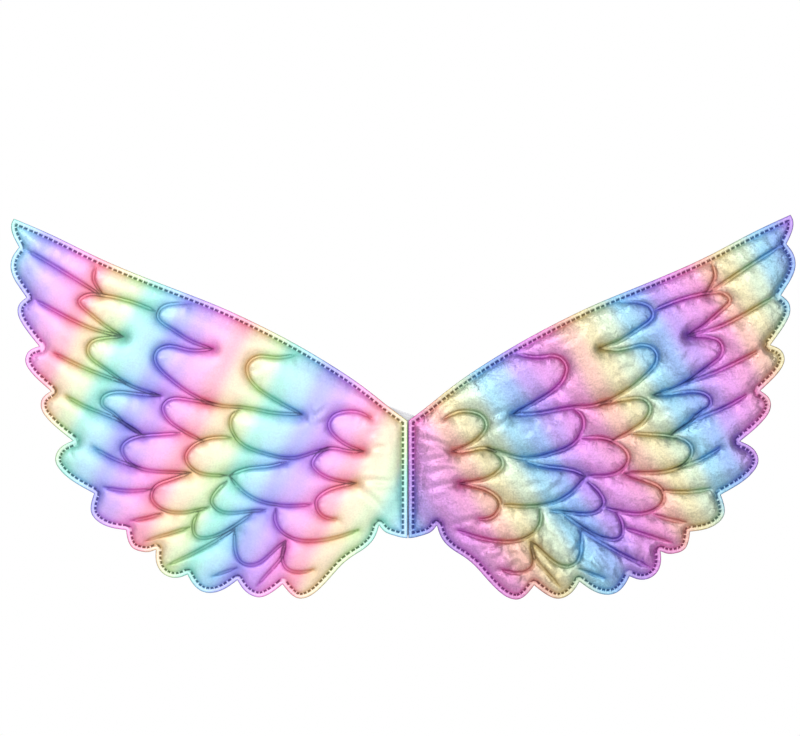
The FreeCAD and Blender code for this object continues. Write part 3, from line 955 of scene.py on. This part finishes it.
def make_camera():
    data = bpy.data.cameras.new("camera")
    data.lens = CAMERA_LENS
    data.sensor_width = 36.0
    data.clip_start, data.clip_end = 0.05, 20.0
    camera = bpy.data.objects.new("camera", data)
    camera.location = (CAMERA_AIM[0], CAMERA_AIM[1] - CAMERA_DISTANCE, CAMERA_AIM[2])
    camera.rotation_euler = (math.pi / 2, 0, 0)
    bpy.context.scene.collection.objects.link(camera)
    bpy.context.scene.camera = camera


def area_light(name, place, aim, size, power):
    data = bpy.data.lights.new(name, "AREA")
    data.shape, data.size, data.energy = "DISK", size, power
    light = bpy.data.objects.new(name, data)
    light.location = place
    light.rotation_euler = (Vector(aim) - Vector(place)).to_track_quat("-Z", "Y").to_euler()
    bpy.context.scene.collection.objects.link(light)


def make_world():
    """White behind the object; what its foil reflects is bright ahead and greyer to the sides."""
    world = bpy.data.worlds.new("studio")
    bpy.context.scene.world = world
    world.use_nodes = True
    nodes, links = world.node_tree.nodes, world.node_tree.links
    nodes.clear()
    place = nodes.new("ShaderNodeTexCoord").outputs["Generated"]
    split = nodes.new("ShaderNodeSeparateXYZ")
    links.new(place, split.inputs[0])
    share = maths(nodes, links, "ADD", maths(nodes, links, "MULTIPLY", split.outputs["Y"], 0.5), 0.5)
    ramp = ramp_node(nodes, [
        (0.0, (1.4, 1.4, 1.4, 1)), (0.10, (1.05, 1.05, 1.06, 1)), (0.34, (0.18, 0.18, 0.20, 1)),
        (0.6, (0.28, 0.28, 0.30, 1)), (0.85, (0.6, 0.6, 0.6, 1)), (1.0, (0.7, 0.7, 0.7, 1)),
    ])
    links.new(share, ramp.inputs[0])
    seen = nodes.new("ShaderNodeLightPath").outputs["Is Camera Ray"]
    colour = mix(nodes, links, "MIX", seen, ramp.outputs[0], (1, 1, 1, 1))
    shader, out = nodes.new("ShaderNodeBackground"), nodes.new("ShaderNodeOutputWorld")
    links.new(colour, shader.inputs["Color"])
    links.new(shader.outputs[0], out.inputs["Surface"])


def make_stage():
    """A pale round floor below the hanging wings, and soft lights."""
    make_world()
    area_light("key", (-0.75, -1.25, 1.0), (0, 0, 0.03), 1.3, 12.0)
    area_light("fill", (0.9, -1.3, 0.25), (0, 0, 0.03), 1.4, 4.4)
    area_light("top", (0.0, -0.1, 1.2), (0, 0, 0.05), 1.2, 3.0)
    area_light("rear", (-0.5, 1.3, 0.9), (0, 0, 0.03), 1.6, 14.0)
    turns = [2 * math.pi * i / FLOOR_SIDES for i in range(FLOOR_SIDES)]
    ring = [(FLOOR_RADIUS * math.cos(a), FLOOR_RADIUS * math.sin(a), FLOOR_Z) for a in turns]
    mesh = bpy.data.meshes.new("floor")
    mesh.from_pydata(ring, [], [tuple(range(FLOOR_SIDES))])
    floor = bpy.data.objects.new("floor", mesh)
    bpy.context.scene.collection.objects.link(floor)
    material, nodes, links, shader = new_material("pale_floor")
    shader.inputs["Base Color"].default_value = (0.86, 0.86, 0.86, 1)
    shader.inputs["Roughness"].default_value = 0.8
    mesh.materials.append(material)
    bpy.context.scene.view_settings.view_transform = "Standard"


def dress(name, material):
    """A carried CAD node gets its material."""
    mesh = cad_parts[name].data
    mesh.materials.clear()
    mesh.materials.append(material)


def main():
    make_camera()
    make_stage()
    backing_cloth = woven("backing_knit", linear(240, 240, 243), 0.0011, 0.00012, welded=True)
    elastic = woven("woven_elastic", linear(233, 233, 235), 0.0009, 0.00015, True, (1.1, 1.8))
    tape_weave = woven("tape_weave", linear(238, 238, 240), 0.0007, 0.0001)
    thread = woven("white_thread", linear(246, 246, 246), 0.0004, 0.00006, roughness=0.5)
    wadding = fibrous("polyester_wadding", linear(240, 240, 238))
    for side in (LEFT, RIGHT):
        word = NAMES[side]
        body = f"{word}_wing"
        face, plan, y = make_face(side, rainbow_film(side))
        pad = make_wadding(side, plan, y, wadding)
        backing = make_backing(side, backing_cloth)
        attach(face, body)
        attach(pad, body)
        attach(backing, body)
        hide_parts(f"{word}_face_fabric")
        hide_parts(f"{word}_padding")
        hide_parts(f"{word}_backing_fabric")
        strap = make_strap(side, elastic)
        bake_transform(strap)
        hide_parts(f"{word}_shoulder_strap", f"{word}_upper_strap_end", f"{word}_lower_strap_end")
        seam = thread_piece(f"{word}_seam_stitches", f"{word}_seam_thread", thread)
        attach(seam, "root")
        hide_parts(f"{word}_seam_thread")
    for level in ("upper", "lower"):
        tack = thread_piece(f"{level}_tack_stitches", f"{level}_tack_thread", thread)
        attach(tack, "root")
        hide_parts(f"{level}_tack_thread")
    dress("seam_tape", tape_weave)


main()
